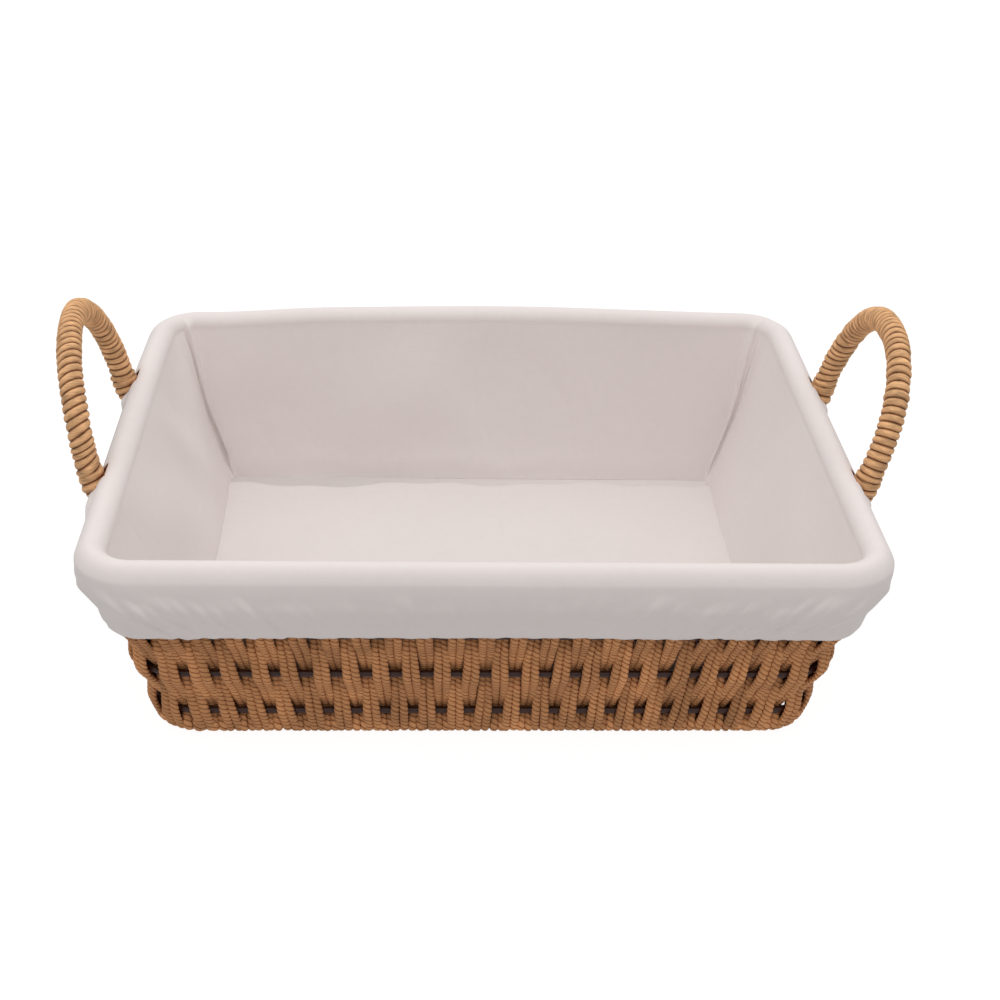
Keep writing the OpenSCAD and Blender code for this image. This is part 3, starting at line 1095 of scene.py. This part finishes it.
class BASKET_OT_rim_wrap(bpy.types.Operator):
    """Winds cord round the rim wire"""

    bl_idname = "basket.rim_wrap"
    bl_label = "Rim Wrap"

    def execute(self, context):
        sizes, colours = context.scene.basket_sizes, context.scene.basket_colours
        rng = np.random.default_rng(6)
        at, total, path, out = ring_path(RIM_Z, 0.36)
        up = np.tile([0.0, 0.0, 1.0], (len(path), 1))
        tubes = Tubes()
        radius = sizes.rim_wrap / MM / 2
        add_wrap(tubes, rng, at, total, path, out, up, radius, RIM_TURN, RIM_RIDGE, 0.1, 14,
                 closed=True)
        # The rim's cord gets painted shade between its turns, in the woven grooves' colour.
        material = kept_material(
            "paper_cord_wound_rim", wound_paper_cord, colours.woven, colours.woven_groove_shade, 0.8
        )
        finish_piece(tubes.piece("rim_cord"), material, "basket", "handle_cord", "rim_wrap")
        return {"FINISHED"}


class BASKET_OT_handles(bpy.types.Operator):
    """Winds cord round the two handles"""

    bl_idname = "basket.handles"
    bl_label = "Handle Wraps"

    def execute(self, context):
        sizes, colours = context.scene.basket_sizes, context.scene.basket_colours
        material = handle_cord(colours)
        for side, seed in (("left", 21), ("right", 22)):
            rng = np.random.default_rng(seed)
            at, total, path, across, out = handle_path(side, 0.25)
            tubes = Tubes()
            add_wrap(tubes, rng, at, total, path, across, out, sizes.handle_wrap / MM / 2,
                     sizes.handle_turn / MM, TURN_RIDGE, TURN_LEAN, TURN_SIDES)
            piece = tubes.piece(side + "_handle_cord")
            finish_piece(piece, material, "basket", "handle_cord", side + "_handle_wrap")
        return {"FINISHED"}


class BASKET_OT_bindings(bpy.types.Operator):
    """Lashes the handles' legs to the rim"""

    bl_idname = "basket.bindings"
    bl_label = "Leg Bindings"

    def execute(self, context):
        material = handle_cord(context.scene.basket_colours)
        origin, across, up, out = handle_frame()
        s = np.linspace(-BINDING_DOWN, BINDING_UP, 84)
        for k, (side, leg) in enumerate(
            (("left", "front"), ("left", "back"), ("right", "front"), ("right", "back"))
        ):
            rng = np.random.default_rng(31 + k)
            y = HANDLE_HALF_W if leg == "back" else -HANDLE_HALF_W
            mirror = np.array([-1.0 if side == "left" else 1.0, 1.0, 1.0])
            path = (origin + across * y + up * s[:, None]) * mirror
            tile = np.ones((len(s), 1))
            taper = 1 - 0.55 * smooth_step((-s - 1.0) / 9.0)
            tubes = Tubes()
            add_wrap(tubes, rng, s + BINDING_DOWN, BINDING_UP + BINDING_DOWN, path,
                     across * tile, out * mirror * tile, BINDING_R, BINDING_TURN,
                     TURN_RIDGE, TURN_LEAN, TURN_SIDES, taper=taper)
            name = f"{side}_{leg}_lashing"
            finish_piece(tubes.piece(name), material, "basket", "handle_cord",
                         f"{side}_{leg}_binding")
        return {"FINISHED"}


class BASKET_OT_liner(bpy.types.Operator):
    """Sews the cloth liner: floor, four sides over the rim, hem and elastic"""

    bl_idname = "basket.liner"
    bl_label = "Cloth Liner"

    def execute(self, context):
        sizes, colours = context.scene.basket_sizes, context.scene.basket_colours
        material = woven_cotton("cotton_plain_woven", colours.cloth)
        thickness = sizes.cloth / MM
        points, normal, (side, along, _), (inner, fold, skirt) = liner_surface(sizes)
        closed = lambda grid: np.concatenate([grid, grid[:, :1]], axis=1)
        points, normal = closed(points), closed(normal)
        for k, name in enumerate(SIDES):
            first = int(np.argmax(side == k))
            last = first + int((side == k).sum())
            part, facing = points[:, first : last + 1], normal[:, first : last + 1]
            keep = np.ones((part.shape[0] - 1, part.shape[1] - 1), bool)
            if k % 2 == 1:
                places = np.append(along[first:last], along[last - 1])
                keep = handle_openings(places, fold, skirt)
            # Painted shade: the inner walls are darkened, the back wall most, fading out
            # towards the rim.
            wall = BACK_WALL_PAINTED_SHADE if name == "back" else SIDE_WALL_PAINTED_SHADE
            tone = 1 + smooth_step(1.3 * (1 - inner)) * (wall - 1.0)
            tone = np.repeat(tone[:, None], part.shape[1], 1)
            piece = cloth_piece(f"liner_{name}_cloth", part, facing, keep, thickness, tone)
            finish_piece(piece, material, "liner", "liner_cloth",
                         f"liner_{name}_panel", f"liner_{name}_skirt")
        floor, floor_normal, floor_tone = floor_grid()
        keep = np.ones((floor.shape[0] - 1, floor.shape[1] - 1), bool)
        piece = cloth_piece("liner_floor_cloth", floor.transpose(1, 0, 2),
                            floor_normal.transpose(1, 0, 2), keep.T, thickness, floor_tone.T)
        finish_piece(piece, material, "liner", "liner_cloth", "liner_floor")
        hem, band = self.hem(sizes, material, colours)
        return {"FINISHED"}

    def hem(self, sizes, material, colours):
        """The hem's turned-up inner layer and the elastic that gathers it."""
        hem_z = sizes.hem_height / MM
        mx, my, nx, ny = liner_columns()[:4]
        grids = []
        for off, heights in (
            (HEM_OUT, hem_z + np.linspace(0.3, 8.0, 10)),
            (BAND_OUT, hem_z + np.linspace(1.6, 6.4, 8)),
        ):
            lift = np.full((1, len(mx)), off)
            a = half_width(heights)[:, None] + lift
            b = half_depth(heights)[:, None] + lift
            r = CORNER_R + lift
            points = np.stack(
                [mx * (a - r) + r * nx, my * (b - r) + r * ny,
                 np.repeat(heights[:, None], len(mx), 1)], -1
            )
            points = np.concatenate([points, points[:, :1]], 1)[::-1]
            normal = np.stack([nx, ny, np.zeros_like(nx)], -1)
            normal = np.repeat(np.concatenate([normal, normal[:1]])[None], len(heights), 0)
            grids.append((points, normal))
        keep = lambda g: np.ones((g.shape[0] - 1, g.shape[1] - 1), bool)
        hem = cloth_piece("liner_hem", *grids[0], keep(grids[0][0]), HEM_THICK)
        finish_piece(hem, material, "liner", "liner_cloth", "hem_casing")
        elastic = woven_cotton("elastic_braided", colours.elastic)
        band = cloth_piece("hem_band", *grids[1], keep(grids[1][0]), BAND_THICK)
        finish_piece(band, elastic, "liner", "elastic", "hem_elastic")
        return hem, band


# The camera: focal length in thousandths of the frame's width, aim and distance in
# millimetres, angles in degrees, shift in frame widths.
CAMERA_FOCAL = 1734.7
CAMERA_TARGET = (10.9, 0.0, 58.6)
CAMERA_DISTANCE = 881.6
CAMERA_ELEVATION = 28.93
CAMERA_YAW = -3.3
CAMERA_ROLL = 2.0
CAMERA_SHIFT_Y = -0.0052

FLOOR_HALF = 6000.0
FLOOR_DROP = 0.15
FLOOR_GREY = 0.12
FLOOR_GLOW = 0.93
WHITE = (1.0, 1.0, 1.0, 1.0)
LAMP_PLACE = (-0.2, 0.0, 1.6)
LAMP_AIM = (0.0, 0.0, 0.05)
LAMP_SIZE = 1.2
LAMP_WATTS = 3.0


class BASKET_OT_studio(bpy.types.Operator):
    """Sets a pale floor, soft lights and the camera"""

    bl_idname = "basket.studio"
    bl_label = "Studio"

    def execute(self, context):
        scene = context.scene
        scene.view_settings.view_transform = "Standard"
        self.floor()
        self.lights(scene)
        self.camera(scene)
        return {"FINISHED"}

    def floor(self):
        k = np.linspace(-FLOOR_HALF, FLOOR_HALF, 9)
        x, y = np.meshgrid(k, k)
        points = np.stack([x, y, np.full_like(x, -FLOOR_DROP)], -1)
        index = np.arange(81).reshape(9, 9)
        faces = np.stack(
            [index[:-1, :-1], index[:-1, 1:], index[1:, 1:], index[1:, :-1]], -1
        ).reshape(-1, 4)
        floor = make_piece("studio_floor", points.reshape(-1, 3), faces)
        material, _, _ = new_material(
            "matt_white_paper_sweep",
            0.9,
            **{
                "Base Color": (FLOOR_GREY, FLOOR_GREY, FLOOR_GREY, 1.0),
                "Emission Color": WHITE,
                "Emission Strength": FLOOR_GLOW,
            },
        )
        floor.data.materials.append(material)
        floor.visible_diffuse = False
        floor.visible_glossy = False

    def lights(self, scene):
        """A bright ceiling that dims towards the horizon, over an even lower half."""
        world = bpy.data.worlds.new("soft_studio")
        world.use_nodes = True
        tree = world.node_tree
        direction = add_node(tree, "TexCoord").outputs["Generated"]
        height = add_node(tree, "SeparateXYZ", {0: direction}).outputs["Z"]
        squared = add_node(tree, "Math", {0: height, 1: height}, operation="MULTIPLY")
        above = weighed_sum(tree, 0.36, (squared.outputs[0], 1.2))
        below = add_node(
            tree,
            "MapRange",
            {"Value": height, "From Min": -0.3, "From Max": 0.05, "To Min": 0.66,
             "To Max": 0.36},
        )
        is_up = add_node(tree, "Math", {0: height, 1: 0.0}, operation="GREATER_THAN")
        total = add_node(
            tree, "Mix", {"Factor": is_up.outputs[0], 2: below.outputs[0], 3: above}
        )
        # Seen straight on, the studio is as white as its floor.
        seen = add_node(tree, "LightPath").outputs["Is Camera Ray"]
        total = add_node(
            tree, "Mix", {"Factor": seen, 2: total.outputs[0], 3: 1.0}
        )
        background = tree.nodes["Background"]
        background.inputs["Color"].default_value = WHITE
        tree.links.new(total.outputs[0], background.inputs["Strength"])
        scene.world = world
        lamp = bpy.data.lights.new("overhead_softbox", "AREA")
        lamp.shape, lamp.size, lamp.energy = "SQUARE", LAMP_SIZE, LAMP_WATTS
        lamp_object = bpy.data.objects.new("overhead_softbox", lamp)
        lamp_object.location = LAMP_PLACE
        aim = Vector(LAMP_AIM) - Vector(LAMP_PLACE)
        lamp_object.rotation_euler = aim.to_track_quat("-Z", "Y").to_euler()
        scene.collection.objects.link(lamp_object)

    def camera(self, scene):
        yaw, up_angle = math.radians(CAMERA_YAW), math.radians(CAMERA_ELEVATION)
        back = Vector(
            (
                math.sin(yaw) * math.cos(up_angle),
                -math.cos(yaw) * math.cos(up_angle),
                math.sin(up_angle),
            )
        )
        place = Vector(CAMERA_TARGET) + back * CAMERA_DISTANCE
        right = (-back).cross(Vector((0, 0, 1))).normalized()
        up = right.cross(-back).normalized()
        roll = math.radians(CAMERA_ROLL)
        right, up = (
            right * math.cos(roll) + up * math.sin(roll),
            up * math.cos(roll) - right * math.sin(roll),
        )
        data = bpy.data.cameras.new("camera")
        data.sensor_width, data.lens = 36.0, CAMERA_FOCAL * 36.0 / 1000
        data.shift_y = CAMERA_SHIFT_Y
        data.clip_start, data.clip_end = 0.05, 50.0
        camera = bpy.data.objects.new("camera", data)
        matrix = Matrix((right, up, back)).transposed().to_4x4()
        matrix.translation = place * MM
        camera.matrix_world = matrix
        scene.collection.objects.link(camera)
        scene.camera = camera


STEPS = (
    BASKET_OT_wires,
    BASKET_OT_woven_walls,
    BASKET_OT_woven_base,
    BASKET_OT_rim_wrap,
    BASKET_OT_handles,
    BASKET_OT_bindings,
    BASKET_OT_liner,
    BASKET_OT_studio,
)


class BASKET_PT_panel(bpy.types.Panel):
    """Lists the basket's steps, sizes and colours"""

    bl_idname = "BASKET_PT_panel"
    bl_label = "Bread Basket"
    bl_space_type = "VIEW_3D"
    bl_region_type = "UI"
    bl_category = "Basket"

    def draw(self, context):
        layout = self.layout
        for group in (context.scene.basket_sizes, context.scene.basket_colours):
            for name in group.__annotations__:
                layout.prop(group, name)
        for step in STEPS:
            layout.operator(step.bl_idname)


CLASSES = (BASKET_PG_sizes, BASKET_PG_colours, *STEPS, BASKET_PT_panel)


def register():
    for cls in CLASSES:
        bpy.utils.register_class(cls)
    bpy.types.Scene.basket_sizes = bpy.props.PointerProperty(type=BASKET_PG_sizes)
    bpy.types.Scene.basket_colours = bpy.props.PointerProperty(type=BASKET_PG_colours)


def unregister():
    del bpy.types.Scene.basket_colours
    del bpy.types.Scene.basket_sizes
    for cls in reversed(CLASSES):
        bpy.utils.unregister_class(cls)


def main():
    register()
    for step in STEPS:
        group, name = step.bl_idname.split(".")
        getattr(getattr(bpy.ops, group), name)()


if __name__ == "__main__":
    main()
